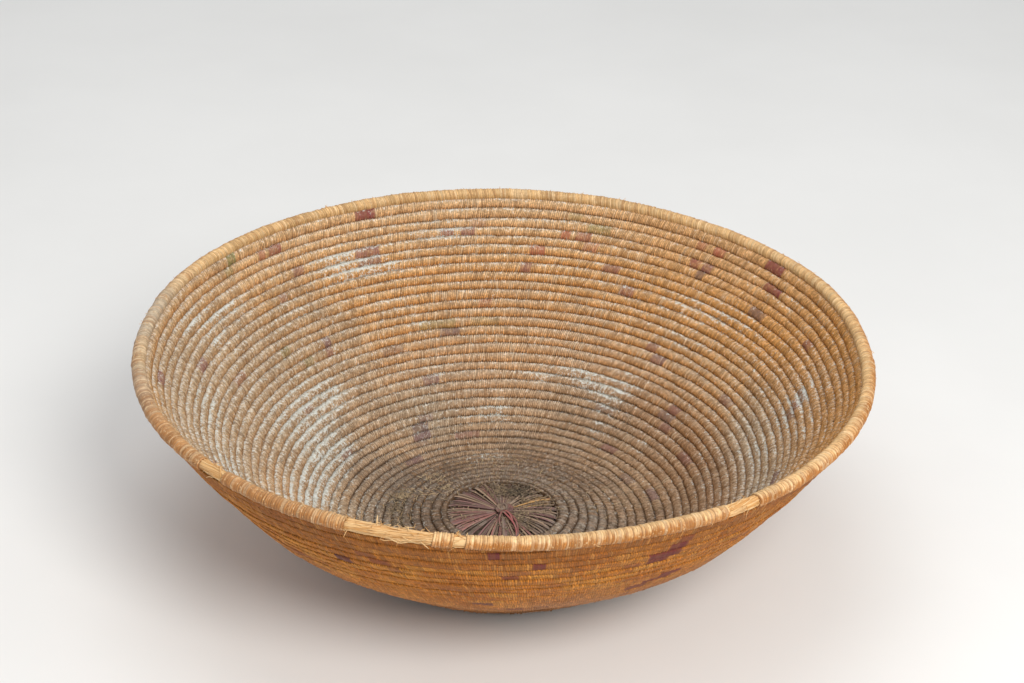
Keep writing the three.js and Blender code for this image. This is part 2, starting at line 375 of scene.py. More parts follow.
# Grey-brown grime, in the same terms as the flour
GRIME = [
    (152, 9, 34, 7, 0.55), (140, 17, 22, 6, 0.5), (182, 8, 26, 11, 0.85), (165, 20, 20, 6, 0.4),
    (112, 21, 20, 5, 0.35), (2, 7, 17, 5, 0.85), (10, 14, 16, 5, 0.5), (350, 12, 20, 8, 0.8),
    (25, 10, 15, 3, 0.4), (117, 24.5, 10, 3, 0.6), (90, 35, 90, 4, 0.5), (180, 31, 40, 5, 0.6),
    (215, 14, 20, 10, 0.7), (270, 20, 50, 12, 0.5), (328, 18, 18, 10, 0.6),
]


def dyes_of(turn, share):
    """Colour and strength of the dye on one turn of the coil, at shares of its round."""
    tint = np.zeros((len(share), 4))
    for azimuth, row, span, colour, strength in DYED:
        start = (azimuth - COIL_START) % 360 / 360
        below = climbed(start, ease((turn - 2) / (LEVEL_TURN - 2)))
        if round(BODY_ROWS - (row - 0.5) + 1.5 - below) == turn:
            tint[np.abs(share - start) * 360 < span / 2] = (*colour, strength)
    return tint


def spread(patches, azimuth, down):
    """How strongly patches of powder or grime lie at points of the wall, from 0 to 1."""
    total = np.zeros_like(azimuth)
    for middle, row, width, height, strength in patches:
        reach = (degrees_from(middle, azimuth) / width) ** 2 + ((down - row) / height) ** 2
        total += strength * np.exp(-reach)
    return np.clip(total, 0, 1)


# --- Materials ---


class Value:
    """What a shader node gives out, with arithmetic that adds the maths nodes it takes."""

    def __init__(self, shader, socket):
        self.shader, self.socket = shader, socket

    def maths(self, operation, other=0.0, swapped=False):
        a, b = (other, self) if swapped else (self, other)
        return self.shader.node("ShaderNodeMath", {0: a, 1: b}, operation=operation)

    __add__ = partialmethod(maths, "ADD")
    __sub__ = partialmethod(maths, "SUBTRACT")
    __rsub__ = partialmethod(maths, "SUBTRACT", swapped=True)
    __mul__ = partialmethod(maths, "MULTIPLY")
    __abs__ = partialmethod(maths, "ABSOLUTE")
    floor = partialmethod(maths, "FLOOR")
    fract = partialmethod(maths, "FRACT")
    most = partialmethod(maths, "MAXIMUM")

    def between(self, low, high, to_low=0.0, to_high=1.0):
        """Maps a range smoothly to another."""
        inputs = {"Value": self, "From Min": low, "From Max": high,
                  "To Min": to_low, "To Max": to_high}
        return self.shader.node("ShaderNodeMapRange", inputs, interpolation_type="SMOOTHSTEP")


class Shader:
    """Builds one material's node tree. Inputs may be numbers, colours or Values."""

    def __init__(self, name):
        self.material = bpy.data.materials.new(name)
        self.material.use_nodes = True
        self.tree = self.material.node_tree
        self.tree.nodes.clear()
        self.where = self.node("ShaderNodeTexCoord", output="Object")

    def node(self, kind, inputs=(), output=0, **settings):
        made = self.tree.nodes.new(kind)
        for key, value in settings.items():
            setattr(made, key, value)
        for key, value in dict(inputs).items():
            socket = made.inputs[key]
            if isinstance(value, Value):
                self.tree.links.new(value.socket, socket)
            elif isinstance(value, tuple):
                socket.default_value = (*value, 1.0)
            else:
                socket.default_value = value
        return Value(self, made.outputs[output])

    def attribute(self, name, output):
        return self.node("ShaderNodeAttribute", output=output, attribute_name=name)

    def split(self, vector):
        made = self.tree.nodes.new("ShaderNodeSeparateXYZ")
        self.tree.links.new(vector.socket, made.inputs[0])
        return [Value(self, output) for output in made.outputs]

    def mix(self, share, a, b, blend="MIX"):
        inputs = {0: share, 6: a, 7: b}
        return self.node("ShaderNodeMix", inputs, 2, data_type="RGBA", blend_type=blend)

    def coats(self, colour, *coats):
        """Lays coats, as (share, colour), over a colour, one on top of the other."""
        for share, coat in coats:
            colour = self.mix(share, colour, coat)
        return colour

    def toned(self, colour, tone):
        grey = self.node("ShaderNodeCombineColor", {0: tone, 1: tone, 2: tone})
        return self.mix(1.0, colour, grey, "MULTIPLY")

    def noise(self, scale, detail=3.0, roughness=0.55, vector=None):
        inputs = {"Vector": vector or self.where, "Scale": scale,
                  "Detail": detail, "Roughness": roughness}
        return self.node("ShaderNodeTexNoise", inputs)

    def grain(self, x, y, z, detail=3.0, roughness=0.55):
        """Noise stretched by what each axis is multiplied by."""
        vector = self.node("ShaderNodeCombineXYZ", {0: x, 1: y, 2: z})
        return self.noise(1.0, detail, roughness, vector)

    def random(self, number, seed=0.0):
        return self.node("ShaderNodeTexWhiteNoise", {"W": number + seed}, noise_dimensions="1D")

    def finish(self, colour, roughness, height, strength, distance, specular=0.35):
        inputs = {"Height": height, "Strength": strength, "Distance": distance}
        inputs = {"Base Color": colour, "Roughness": roughness, "Specular IOR Level": specular,
                  "Normal": self.node("ShaderNodeBump", inputs)}
        surface = self.node("ShaderNodeBsdfPrincipled", inputs)
        output = self.tree.nodes.new("ShaderNodeOutputMaterial")
        self.tree.links.new(surface.socket, output.inputs["Surface"])
        return self.material


def coil_material():
    """Sewn straw. The weave attribute holds the stitch number, the place across the coil from
    groove to groove (-1 to 1) and the depth from outside (-1) to inside (1) of the bowl. The
    powder attribute holds flour, grime and how far down the wall the point is (0 to 1)."""
    s = Shader("coil_straw")
    stitch, across, depth = s.split(s.attribute("weave", "Vector"))
    flour, grime, down = s.split(s.attribute("powder", "Vector"))
    x, y, _ = s.split(s.where)
    outer = depth.between(0.05, -0.25)
    inner = 1.0 - outer
    own = s.random(stitch.floor())
    own_hue = s.random(stitch.floor(), 31.7)
    strip = s.random((stitch * 0.09).floor(), 5.3)
    seam = abs(stitch.fract() - 0.5)
    patch = s.noise(22.0, 4.0)
    broad = s.noise(6.5, 2.0)
    fine = s.noise(150.0, 3.0, 0.65)
    crumb = s.noise(420.0, 3.0, 0.7)
    dust = s.noise(1100.0, 2.0, 0.6)
    fibre = s.grain(stitch * 3.0, across * 2.6, depth)
    streak = s.grain(stitch * 0.26, across * 0.8, down * 37.0, 4.0, 0.7)

    # inside: golden under the rim, then tan, then grey-brown on the base
    level = down + (broad - 0.5) * 0.5
    right = x.between(0.03, 0.16)
    soiled = (grime + (patch - 0.5) * 0.7).between(0.1, 0.9)
    # under: the lower half of each coil made darker and a deeper orange, painted shade
    under = across.between(0.25, -0.75) * level.between(0.8, 0.25, 0.25, 0.85)
    # pale: the upper half of each coil made paler, dust with painted highlight on the crest
    pale = across.between(-0.1, 0.7) * fine.between(0.35, 0.6, 0.2, 0.65)
    pale = pale * (right - level * 2.0).between(0.0, 0.6, 1.0, 0.45)
    mottle = patch * 0.5 + crumb * 0.5
    base = s.coats(
        s.mix(mottle.between(0.42, 0.58), (0.088, 0.058, 0.04), (0.255, 0.215, 0.175)),
        (own_hue.between(0.45, 0.85, 0, 0.5), (0.235, 0.13, 0.075)),
        (x.between(0.02, -0.12, 0, 0.45), (0.095, 0.088, 0.08)),
    )
    inside = s.coats(
        s.mix(level.between(0.62, 0.18), (0.5, 0.325, 0.19), (0.64, 0.36, 0.14)),
        (soiled * 0.72, (0.35, 0.275, 0.185)),
        # painted shade on the lower half of each coil
        (under * (1.0 - soiled * 0.6), (0.56, 0.225, 0.05)),
        # dust and painted highlight on the upper half of each coil
        (pale, (0.64, 0.5, 0.37)),
        (patch.between(0.56, 0.74, 0, 0.35), (0.3, 0.185, 0.105)),
        # painted shade on the lower right of the wall
        (right * down.between(0.38, 0.58, 0, 0.75), (0.3, 0.14, 0.056)),
        (right * level.between(0.42, 0.12, 0, 0.7), (0.64, 0.29, 0.07)),
        (y.between(0.04, 0.2) * down.between(0.2, 0.05, 0, 0.3), (0.74, 0.53, 0.32)),
        (level.between(0.5, 0.66, 0, 0.3), (0.29, 0.235, 0.165)),
        (level.between(0.66, 0.9, 0, 0.88), base),
    )

    # outside: handled and oiled, a deep orange, duller towards the base
    outside = s.coats(
        s.mix(patch.between(0.35, 0.65), (0.42, 0.135, 0.018), (0.56, 0.205, 0.026)),
        (strip.between(0.55, 1.0, 0, 0.55), (0.6, 0.275, 0.045)),
        (broad.between(0.5, 0.68, 0, 0.55), (0.3, 0.11, 0.026)),
        # painted shade on the outside just under the rim
        (down.between(0.15, 0.03, 0, 0.72), (0.27, 0.085, 0.012)),
        (level.between(0.22, 0.5, 0, 0.6), (0.46, 0.22, 0.105)),
        (level.between(0.62, 0.8, 0, 0.7), (0.26, 0.175, 0.11)),
    )

    # each stitch has its own tone, and a new strip now and then changes it for a while
    tone = own.between(0, 1, 0.89, 1.13) * strip.between(0, 1, 0.95, 1.04)
    tone = tone * fibre.between(0.3, 0.7, 0.82, 1.16) * crumb.between(0.3, 0.7, 0.62, 1.34)
    # paler stitches picked at random, fewer towards the base: painted highlight
    stitch_highlight = own_hue.between(0.78, 1.0, 0, 0.32) * level.between(0.85, 0.55, 0.25, 1.0)

    # dyed strips, faded inside by wear and darker outside
    dye = s.attribute("dye", "Color")
    faded = s.attribute("dye", "Alpha") * own.between(0, 1, 0.78, 1.0)
    faded = faded * outer.most(fine.between(0.66, 0.42, 0.62, 1.0))

    # painted shade between the stitches, and dirt with painted shade in the grooves, which runs up
    # between them like teeth
    gap = seam.between(0.2, 0.48, 0, 0.88) * own.between(0, 1, 1.0, 0.6)
    edge = abs(across) + seam.between(0.12, 0.5, 0, 0.26) + level.between(0.55, 0.82, 0, 0.22)
    edge = edge + (crumb - 0.5) * 0.5
    groove_dirt_and_shade = inner * level.between(0.15, 0.6, 0.66, 0.96)
    groove_dirt_and_shade = groove_dirt_and_shade * streak.between(0.62, 0.4, 0.4, 1.0).most(level.between(0.5, 0.7))

    # flour: it fills the grooves and the ledge above each coil, and only dusts the crests
    ledge = across.between(0.0, 0.7).most(across.between(-0.74, -0.95))
    settled = flour * 0.88 + ledge * 0.6 + (streak - 0.5) * 2.0 + (crumb - 0.5) * 2.2
    settled = settled + (dust - 0.5) * 1.8 + seam.between(0.2, 0.5, -0.1, 0.22)
    speck = (crumb + (ledge * 0.06 + grime * 0.075)).between(0.62, 0.72, 0, 0.7)
    speck = speck * level.between(0.9, 0.7, 0.35, 1.0) * dust.between(0.4, 0.6, 0.35, 1.0)
    white = settled.between(0.84, 1.32, 0, 0.92).most(speck) * inner

    colour = s.coats(
        s.toned(s.mix(outer, inside, outside), tone),
        # painted highlight on random stitches
        (stitch_highlight, s.mix(outer, (0.78, 0.6, 0.4), (0.7, 0.36, 0.1))),
        (own_hue.between(0.16, 0.0, 0, 0.5), (0.26, 0.125, 0.045)),
        (faded, s.mix(outer, dye, s.mix(0.5, dye, (0.05, 0.002, 0.008)))),
        (gap, s.mix(outer, (0.15, 0.078, 0.034), (0.15, 0.05, 0.008))),
        # painted shade, with dirt, in the grooves inside the bowl
        (edge.between(0.76, 1.14) * groove_dirt_and_shade, (0.095, 0.052, 0.026)),
        # painted shade, with dirt, in the grooves outside
        (edge.between(0.98, 1.24, 0, 0.55) * outer, (0.13, 0.045, 0.01)),
        (white, s.mix(crumb.between(0.35, 0.65), (0.47, 0.46, 0.4), (0.66, 0.68, 0.64))),
    )
    roughness = white.between(0, 0.8, 0.62, 0.92)
    return s.finish(colour, roughness, fibre * 0.7 + crumb * 0.9, 0.6, 0.0003, specular=0.22)


def wrap_material():
    """The rim's bound wrap. The weave attribute holds the turn of strip, and how far outwards and
    how far upwards on its section the point is (-1 to 1)."""
    s = Shader("rim_wrap")
    stitch, outward, height = s.split(s.attribute("weave", "Vector"))
    x, y, _ = s.split(s.where)
    own = s.random(stitch.floor(), 3.1)
    own_hue = s.random(stitch.floor(), 17.9)
    strip = s.random((stitch * 0.14).floor(), 9.2)
    patch = s.noise(24.0)
    fine = s.noise(420.0, 3.0, 0.7)
    fibre = s.grain(stitch * 4.0, outward, height, 2.0)

    # orange outside, tan inside, and pale on top, most of all along the front: rubbed by wear, with
    # a painted highlight on the top
    front = y.between(-0.06, -0.21) * x.between(-0.17, -0.07)
    worn_and_lit_top = height + (patch - 0.5) * 1.3 + (own - 0.5) * 0.5
    left = x.between(-0.17, -0.26) * patch.between(0.3, 0.6, 0.4, 0.8)
    colour = s.coats(
        s.mix(outward.between(-0.3, 0.6), (0.66, 0.415, 0.18), (0.44, 0.165, 0.03)),
        (worn_and_lit_top.between(0.3, 0.95) * front.between(0, 1, 0.42, 0.92), (0.71, 0.455, 0.215)),
        (left * (y.between(-0.18, -0.09) * y.between(0.13, 0.03)), (0.43, 0.38, 0.305)),
        (x.between(-0.06, -0.14) * y.between(-0.04, -0.14, 0, 0.7), (0.4, 0.18, 0.06)),
        (own_hue.between(0.62, 1.0, 0, 0.32), (0.84, 0.66, 0.42)),
        (own_hue.between(0.34, 0.0, 0, 0.5), (0.42, 0.205, 0.075)),
    )
    tone = own.between(0, 1, 0.84, 1.1) * strip.between(0, 1, 0.94, 1.05)
    gap = abs(stitch.fract() - 0.5).between(0.32, 0.5, 0, 0.8) * own_hue.between(0, 1, 1.0, 0.5)
    colour = s.coats(
        s.toned(colour, tone * fibre.between(0.3, 0.7, 0.84, 1.12)),
        (fine.between(0.52, 0.68, 0, 0.55), (0.34, 0.18, 0.08)),
        (fine.between(0.46, 0.32, 0, 0.45), (0.84, 0.64, 0.38)),
        (gap, (0.2, 0.085, 0.03)),
        # painted shade on the underside of the wrap, where it meets the coil below
        (height.between(-0.45, -0.95, 0, 0.75), (0.24, 0.095, 0.025)),
    )
    return s.finish(colour, 0.5, fibre + fine, 0.5, 0.0002, specular=0.3)


def straw_material(name, pale, dark, grey):
    """Bare straw, with its grain along each stalk. The strand attribute holds the place along
    the stalk, the place round it and a number of the stalk's own."""
    s = Shader(name)
    along, around, own = s.split(s.attribute("strand", "Vector"))
    grain = s.grain(along * 3.0, around * 9.0, own * 40.0)
    colour = s.coats(
        s.mix(own.between(0, 1), pale, dark),
        (s.noise(60.0).between(0.5, 0.75, 0, 0.6), grey),
        (grain.between(0.35, 0.65, 0.35, 0), dark),
    )
    return s.finish(colour, 0.55, grain, 0.4, 0.0002)


def litter_material():
    """Dry bits of husk and dust, from dark grey-brown to pale straw by each bit's own number."""
    s = Shader("husk_litter")
    own = s.split(s.attribute("strand", "Vector"))[2]
    patch = s.noise(300.0, 2.0)
    colour = s.coats(
        s.mix(own.between(0.05, 0.45), (0.05, 0.038, 0.028), (0.22, 0.16, 0.1)),
        (own.between(0.5, 0.95), (0.56, 0.42, 0.25)),
        (patch.between(0.45, 0.7, 0, 0.5), (0.31, 0.245, 0.16)),
    )
    return s.finish(colour, 0.85, patch, 0.4, 0.0002)


def strip_material():
    """Dyed flat strips of the start disc. The tint attribute holds each strip's dye."""
    s = Shader("start_strip")
    along, around, own = s.split(s.attribute("strand", "Vector"))
    grain = s.grain(along * 1.2, around * 16.0, own * 40.0)
    dust = s.noise(95.0).between(0.48, 0.72, 0, 0.5).most(along.between(0.82, 1.0, 0, 0.7))
    colour = s.coats(
        s.attribute("tint", "Color"),
        (grain.between(0.38, 0.62, 0.0, 0.45), (0.34, 0.235, 0.17)),
        (grain.between(0.45, 0.3, 0.0, 0.5), (0.1, 0.055, 0.045)),
        (dust, (0.3, 0.245, 0.2)),
    )
    return s.finish(colour, 0.6, grain, 0.6, 0.0003)


# --- The coil ---

# Across the coil: from groove to groove inside the bowl, and back again outside.
INNER = np.array([-1.0, -0.90, -0.64, -0.24, 0.24, 0.64, 0.90, 1.0])
OUTER = np.array([1.0, 0.80, 0.30, -0.30, -0.80, -1.0])
INNER_FLOOR = 0.24  # depth of a groove inside, as a share of the half thickness
OUTER_FLOOR = -0.92


def inner_round(across):
    """How proud the coil stands inside the bowl, from 0 in a groove to 1 on its crest."""
    return (1 - np.abs(across) ** 2.3) ** 0.52


def section():
    """Across (-1 to 1) and depth (-1 to 1) of the coil's section: round inside, flatter outside."""
    flat_out = (1 - np.abs(OUTER) ** 2.6) ** 0.7
    depth_in = INNER_FLOOR + (1 - INNER_FLOOR) * inner_round(INNER)
    depth_out = OUTER_FLOOR - (1 + OUTER_FLOOR) * flat_out
    return np.concatenate([INNER, OUTER]), np.concatenate([depth_in, depth_out])


ACROSS, DEPTH = section()
IS_OUTER = np.concatenate([np.zeros(len(INNER), bool), np.ones(len(OUTER), bool)])


def edge_row(turn, share):
    """The lower edge of a turn as it was sewn, never quite true."""
    uneven = 0.075 * wander(turn - 1 + share, 11)
    return true_edge(turn, share) + uneven * np.clip(turn + share - 1, 0, 1)


def coil_turn(turn, first_stitch):
    """Points, faces, attributes, stitch count and texture layout of one turn of the coil."""
    start = FIRST_SHARE if turn == 1 else 0.0
    end = 1 - FINAL_SHARE if turn == TURNS else 1.0
    middle_r = wall_at(np.array([turn - 1.0]))[0][0]
    length = TAU * middle_r * (end - start)
    stitches = max(12, round(length / STITCH))
    rings = 2 * stitches + 1
    step = np.arange(rings)
    draw = np.random.default_rng(1000 + turn)
    size = draw.normal(0, 1, stitches + 1)
    slack = draw.random(stitches + 1) < 0.018
    slant = 1 + 0.45 * draw.normal(0, 1, stitches + 1)
    width = draw.uniform(0.7, 1.3, stitches)
    places = np.concatenate([[0], np.cumsum(width)]) / width.sum()
    stitch_of = np.minimum(step // 2, stitches - 1)
    ridge = step % 2 == 1
    base = ease((20 - turn) / 8)
    relief = RELIEF * (1 + 0.7 * base)
    proud = relief * (1 + 0.45 * size[stitch_of]) + 0.10 * slack[stitch_of]
    gain = np.where(ridge, proud, -relief)[:, None]

    # stitches lean along the coil inside, and stand square across it outside
    lean = LEAN * np.where(IS_OUTER, np.sign(ACROSS) * np.abs(ACROSS) ** 5, ACROSS)
    uneven = slant[stitch_of] + 0.7 * wander(turn + step / rings, 71, 9.0)
    share = start + (end - start) * np.interp(step / 2, np.arange(stitches + 1), places)
    share = share[:, None] + lean / (TAU * middle_r) * uneven[:, None]
    held = np.clip(share, start, end)

    top = BODY_ROWS + RIM_LAP
    lower = np.zeros_like(held) if turn == 1 else edge_row(turn, held)
    upper = np.full_like(held, top) if turn == TURNS else edge_row(turn + 1, held)
    if turn == TURNS - 1:
        upper = np.maximum(upper, top - 2.0 * ease((1 - FINAL_SHARE - held) / 0.05))
    row = (lower + upper) / 2
    width = np.maximum(upper - lower, 0.05)
    radius, height, up_r, up_z = wall_at(row)
    azimuth = math.radians(COIL_START) + TAU * share
    lumpy = 0.34 * MM * wander(turn + held, 23, 4.0) + belly(azimuth, row)
    thick = COIL_HALF * (0.4 + 0.6 * np.minimum(width, 1))
    swell = 1 + gain * (1 - 0.2 * np.abs(DEPTH))
    along = ACROSS * width * PITCH / 2 * OVERLAP * (1 + 0.9 * gain)
    inward = DEPTH * thick * swell + 0.6 * gain * MM + lumpy
    inward -= 0.8 * MM * base * np.where(IS_OUTER, 0, ACROSS**8)
    out_r, out_z = out_of_round(azimuth, row)
    r = radius + out_r + up_r * along - up_z * inward
    z = np.maximum(height + out_z + up_z * along + up_r * inward, 0.0)
    points = polar(r, azimuth, z).reshape(-1, 3)

    sides = len(ACROSS)
    weave = per_point(first_stitch + step / 2, ACROSS, DEPTH)
    dye = dyes_of(turn, start + (end - start) * places[stitch_of])
    valley = np.flatnonzero(~ridge & (step > 0))
    dye[valley, 3] = (dye[valley - 1, 3] + dye[valley, 3]) / 2
    bare = valley[dye[valley, :3].sum(1) == 0]
    dye[bare, :3] = dye[bare - 1, :3]
    down = BODY_ROWS - row
    powder = [spread(FLOUR, azimuth, down), spread(GRIME, azimuth, down), down / BODY_ROWS]
    attributes = {"weave": weave, "dye": np.repeat(dye, sides, 0),
                  "powder": np.stack(powder, -1).reshape(-1, 3)}
    uv = strip_uv(rings, sides, length, 3.1 * PITCH)
    return points, tube_faces(rings, sides), attributes, stitches, uv


def build_coil():
    material = coil_material()
    stitch = 0
    for number, node in enumerate(turn_nodes, 1):
        points, faces, attributes, count, uv = coil_turn(number, stitch)
        name = node.replace("coil_round", "sewn_turn")
        make_piece(name, points, faces, material, [node], attributes, uv)
        stitch += count + 7


# --- The rim ---


def rim_line(azimuth):
    """Radius and height of the rim coil's centre, uneven as a hand-bound rim is."""
    turn = azimuth / TAU
    out_r, out_z = out_of_round(azimuth, BODY_ROWS)
    r = rim_r + out_r + 0.35 * MM * wander(turn, 41, 5.0)
    z = rim_z + out_z + 0.35 * MM * wander(turn, 43, 4.0)
    return r, z


def round_rim(line, azimuth, away, angle):
    """Points `away` from the rim's centre, whose radius and height are `line`, at an angle round
    the rim's section."""
    r, z = line
    return polar(r + away * np.cos(angle), azimuth, z + away * np.sin(angle))


def wrap_run(start, end, seed):
    """Points, faces and attributes of the wrap between two azimuths: a ridge for each turn of
    strip, and the strip is wider in some turns than in others."""
    draw = np.random.default_rng(seed)
    sides = 18
    angle = -TAU * np.arange(sides) / sides
    stitches = max(3, round((end - start) * rim_r / WRAP_STITCH))
    width = draw.uniform(0.62, 1.40, stitches)
    edges = start + (end - start) * np.concatenate([[0], np.cumsum(width)]) / width.sum()
    step = np.arange(4 * stitches + 1)
    azimuth = np.interp(step / 4, np.arange(stitches + 1), edges)
    size = draw.normal(0, 1, stitches + 1)
    twist = draw.normal(0, 0.35, stitches + 1)
    profile = np.array([-0.40, 0.04, 0.16, 0.06]) * MM
    relief = profile[step % 4] + np.where(step % 4 > 0, 0.12 * MM * size[step // 4], 0)
    wave = 0.20 * MM * wander(azimuth / TAU, seed, 9.0)
    radius = (WRAP_RADIUS + relief + wave)[:, None] * (1 + 0.03 * np.cos(2 * angle + 0.4))
    lean = (0.8 + twist[step // 4])[:, None] * MM * np.sin(angle + 0.5)
    turned = azimuth[:, None] + lean / rim_r
    points = round_rim(rim_line(turned), turned, radius, angle).reshape(-1, 3)
    weave = per_point(step / 4 + seed, np.cos(angle), np.sin(angle))
    uv = strip_uv(len(step), sides, (end - start) * rim_r, TAU * WRAP_RADIUS)
    return points, tube_faces(len(step), sides), {"weave": weave}, uv


def wrap_span(node):
    """Azimuths, in degrees, between which a CAD wrap runs."""
    azimuth = corners(node)[2]
    middle = math.atan2(np.sin(azimuth).mean(), np.cos(azimuth).mean())
    aside = (azimuth - middle + math.pi) % TAU - math.pi
    return math.degrees(middle + aside.min()), math.degrees(middle + aside.max())


def bundle_piece(material):
    """The straw bundle that runs round inside the wrap, fluted by its stalks."""
    stalks, per = 13, 3
    sides = stalks * per
    rings = 720
    angle = -TAU * np.arange(sides) / sides
    azimuth = TAU * np.arange(rings)[:, None] / rings
    flute = np.tile([0.0, 0.30, 0.30], stalks) * MM
    radius = BUNDLE_RADIUS - 0.45 * MM + flute + 0.12 * MM * wander(azimuth / TAU, 61, 20.0)
    points = round_rim(rim_line(azimuth), azimuth, radius, angle + 14 * azimuth).reshape(-1, 3)
    side = np.arange(sides)
    strip = {"strand": per_point(np.arange(rings) / 12, side / sides, side // per / stalks)}
    faces = tube_faces(rings, sides, closed=True)
    make_piece("straw_bundle", points, faces, material, ["rim_bundle"], strip)


def bare_straws(name, start, end, count, seed, material):
    """Loose stalks where the wrap is gone, some with ends that stick out."""
    draw = np.random.default_rng(seed)
    length = (end - start) * rim_r
    parts = []
    for _ in range(count):
        turn = draw.uniform(0, TAU)
        spread_out = draw.normal(0, 0.12)
        begin = start - draw.uniform(0.5, 3.0) * MM / rim_r
        finish = end + draw.uniform(0.5, 3.0) * MM / rim_r
        stray = draw.random() < 0.30
        if stray:
            finish = start + draw.uniform(0.25, 0.95) * (end - start)
            if draw.random() < 0.5:
                begin = end
        points = []
        for share in np.linspace(0, 1, 12):
            azimuth = begin + (finish - begin) * share
            away = BUNDLE_RADIUS + draw.uniform(-0.1, 0.35) * MM
            if stray:
                away += max(0.0, share - 0.55) ** 2 * draw.uniform(5, 16) * MM
            angle = turn + spread_out * share * length / (9 * MM) + 0.9 * share
            points.append(round_rim(rim_line(azimuth), azimuth, away, angle))
        thick = STRAW_RADIUS * draw.uniform(0.55, 1.35)
        parts.append(strand(points, thick, 5, 0.5, colour=draw.random()))
    make_joined(name, parts, material)


def frays(name, places, seed, material, reach=(3.0, 9.0)):
    """Short torn ends of strip and fibre that stand off the rim. `places` are (azimuth in
    degrees, spread in degrees, how many)."""
    draw = np.random.default_rng(seed)
    share = np.linspace(0, 1, 6)
    parts = []
    for middle, width, count in places:
        for _ in range(count):
            azimuth = math.radians(middle + draw.normal(0, width / 2))
            angle = draw.uniform(-0.6, math.pi + 0.6)
            length = draw.uniform(*reach) * MM
            heading = draw.normal(0, 1.2)
            line = rim_line(azimuth)
            rise = length * share * (0.45 + 0.2 * np.sin(3 * share + heading))
            away = WRAP_RADIUS - 0.5 * MM + rise
            slide = length * heading * 0.7 * share * (1 - 0.35 * share)
            bend = angle + 0.5 * share * math.sin(heading * 2)
            path = round_rim(line, azimuth + slide / line[0], away, bend)
            thick = draw.uniform(0.10, 0.30) * MM
            parts.append(strand(path, thick, 4, 0.25, colour=draw.random()))
    make_joined(name, parts, material)


def splinters(straw):
    """The larger broken stalks of the bare front part of the rim, as (azimuth and angle round the
    rim in degrees, length and thickness in mm, degrees that it leans along the rim)."""
    stalks = [
        (253.1, 96, 7.5, 0.55, -4), (256.1, 80, 4.5, 0.4, 10), (257.7, 85, 4.5, 0.4, -14),
        (250.2, 70, 3.5, 0.35, 25), (255, -18, 12, 0.45, 62), (259.4, -10, 8, 0.4, 55),
        (252, 10, 7, 0.4, 58), (260.6, 30, 5, 0.4, -60),
    ]
    share = np.linspace(0, 1, 8)
    parts = []
    for i, (azimuth, angle, length, thick, leaning) in enumerate(stalks):
        azimuth, leaning = math.radians(azimuth), math.radians(leaning)
        out = (BUNDLE_RADIUS + length * MM * math.cos(leaning) * share) * (1 - 0.08 * share**2)
        turned = azimuth + length * MM * math.sin(leaning) * share / rim_r
        bend = math.radians(angle) + 0.25 * share**2 * (-1) ** i
        path = round_rim(rim_line(turned), turned, out, bend)
        side = (math.cos(azimuth), math.sin(azimuth), 0.3)
        parts.append(strand(path, thick * MM, 5, 0.35, 0.6, side, 0.1 * (i % 4)))
    make_joined("rim_splinters", parts, straw)


def build_rim():
    wrap = wrap_material()
    straw = straw_material("bare_straw", (0.80, 0.56, 0.29), (0.60, 0.31, 0.10), (0.42, 0.26, 0.14))
    # what each wrap has lost or kept at its ends, in degrees, and where it is worn through
    ends = {
        "rim_wrap_back": (-1.5, 3.2),
        "rim_wrap_left": (2.6, 1.0),
        "rim_wrap_front": (2.2, -1.3),
    }
    worn = {"rim_wrap_front": (263.7, 265.4)}
    runs = []
    for seed, node in enumerate(sorted(ends), 3):
        low, high = wrap_span(node)
        low, high = low + ends[node][0], high + ends[node][1]
        pieces = [(low, high)]
        if node in worn:
            hole = [x + 360 * round((low - x) / 360) for x in worn[node]]
            pieces = [(low, hole[0]), (hole[1], high)]
        for i, (start, end) in enumerate(pieces):
            runs.append((start % 360, start % 360 + end - start))
            run = wrap_run(math.radians(start), math.radians(end), 50 * seed + i)
            points, faces, attributes, uv = run
            name = node.replace("rim_wrap", "bound_wrap") + ("" if i == 0 else "_more")
            make_piece(name, points, faces, wrap, [node], attributes, uv)
    bundle_piece(straw)
    runs.sort()
    for i, (_, end) in enumerate(runs):
        gap = (runs[(i + 1) % len(runs)][0] - end) % 360
        name, count = f"bare_straws_{i + 1}", 12 + round(5 * gap)
        bare_straws(name, math.radians(end), math.radians(end + gap), count, 70 + i, straw)
    near = [(254, 6, 22), (248.6, 1.2, 8), (260.6, 1.0, 6), (265, 1.2, 5), (225, 3, 8),
            (306, 3, 8), (241, 3, 4)]
    frays("rim_frays_front", near, 80, straw)
    splinters(straw)
    far = [(x, 9, 16) for x in range(0, 200, 10)] + [(x, 12, 9) for x in range(210, 360, 15)]
    frays("rim_frays_back", far, 81, straw, (1.2, 4.6))
    return straw


# --- The start disc ---


